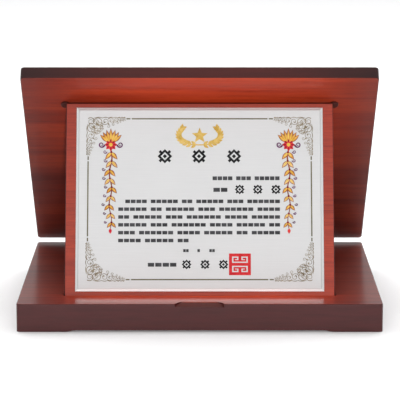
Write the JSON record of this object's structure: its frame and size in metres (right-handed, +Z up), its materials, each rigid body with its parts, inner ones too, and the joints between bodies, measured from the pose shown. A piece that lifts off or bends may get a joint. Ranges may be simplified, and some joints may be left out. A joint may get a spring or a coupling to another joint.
{
  "type": "wooden plaque",
  "caption": "Folding award plaque: a lacquered wooden base and lid hinged at the back, with a metal-faced panel that stands up from a pocket in the base.",
  "frame": {"origin": "centre of the open plaque's footprint, on the surface it stands on", "axes": "+X across the plaque to its right-hand side seen from the front, the face with the plate looks to -Y and up, +Z up"},
  "size_m": [0.32, 0.2698, 0.2213],
  "materials": {
    "lacquered_wood": "gloss",
    "velvet": "matte",
    "brass": "satin",
    "rubber": "matte",
    "steel": "satin",
    "tape": "matte",
    "plate": "satin"
  },
  "bodies": {
    "base": {"base_board": "lacquered_wood", "pocket_lining": "velvet", "pivot_sleeve_left": "brass", "pivot_sleeve_right": "brass", "hinge_base_leaf_left": "brass", "hinge_base_leaf_right": "brass", "hinge_pin_left": "steel", "hinge_pin_right": "steel", "base_hinge_screws": "steel"},
    "lid": {"lid_board": "lacquered_wood", "lid_bumper_left": "rubber", "lid_bumper_right": "rubber", "hinge_lid_leaf_left": "brass", "hinge_lid_leaf_right": "brass", "lid_hinge_screws": "steel"},
    "panel": {"panel_board": "lacquered_wood", "pivot_pin_left": "steel", "pivot_pin_right": "steel", "plate_adhesive": "tape", "plaque_plate": "plate"}
  },
  "joints": [
    {"name": "lid_hinge", "type": "hinge", "parent": "base", "child": "lid", "pos_m": [0, 0.12726, 0.0261], "axis": [-1, 0, 0], "range_deg": [0, 134.8]},
    {"name": "panel_pivot", "type": "hinge", "parent": "base", "child": "panel", "pos_m": [0, -0.09958, 0.0168], "axis": [-1, 0, 0], "range_deg": [0, 69.5]}
  ],
  "couplings": [
    {"joint": "panel_pivot", "follows": "lid_hinge", "ratio": 0.5155}
  ]
}
